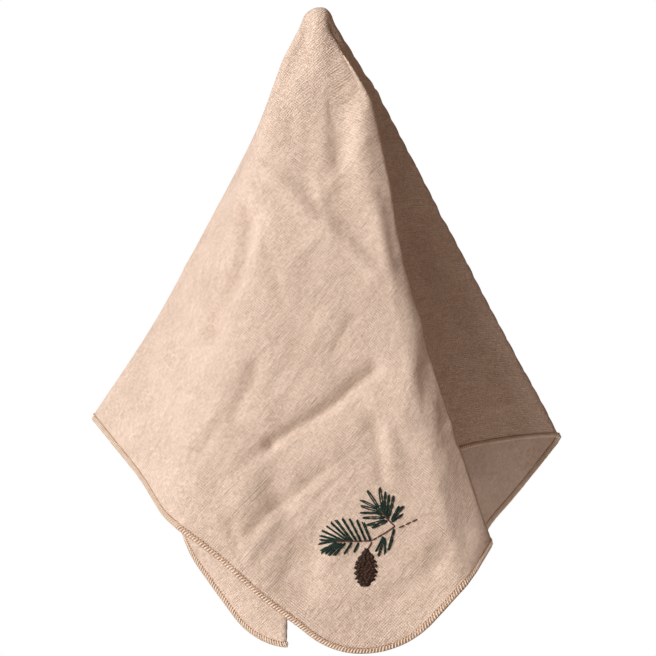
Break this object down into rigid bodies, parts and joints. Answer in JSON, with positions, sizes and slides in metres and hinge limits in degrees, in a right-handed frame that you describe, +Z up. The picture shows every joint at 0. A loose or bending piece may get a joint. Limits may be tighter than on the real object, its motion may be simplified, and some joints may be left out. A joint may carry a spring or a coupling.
{
  "type": "cloth napkin",
  "caption": "Square linen napkin with rounded, overlocked corners and one embroidered corner, hanging in soft folds from its middle.",
  "frame": {"origin": "top of the rounded tip at the middle of the cloth, where whatever holds it up takes hold", "axes": "+Z up, along the hanging height; the embroidered corner hangs to the front, towards -Y; +X to the right as seen from the front"},
  "size_m": [0.2292, 0.1928, 0.3032],
  "materials": {
    "linen": "washed plain weave, matte, warm beige"
  },
  "bodies": {
    "root": {"napkin_cloth": "linen"}
  },
  "joints": []
}
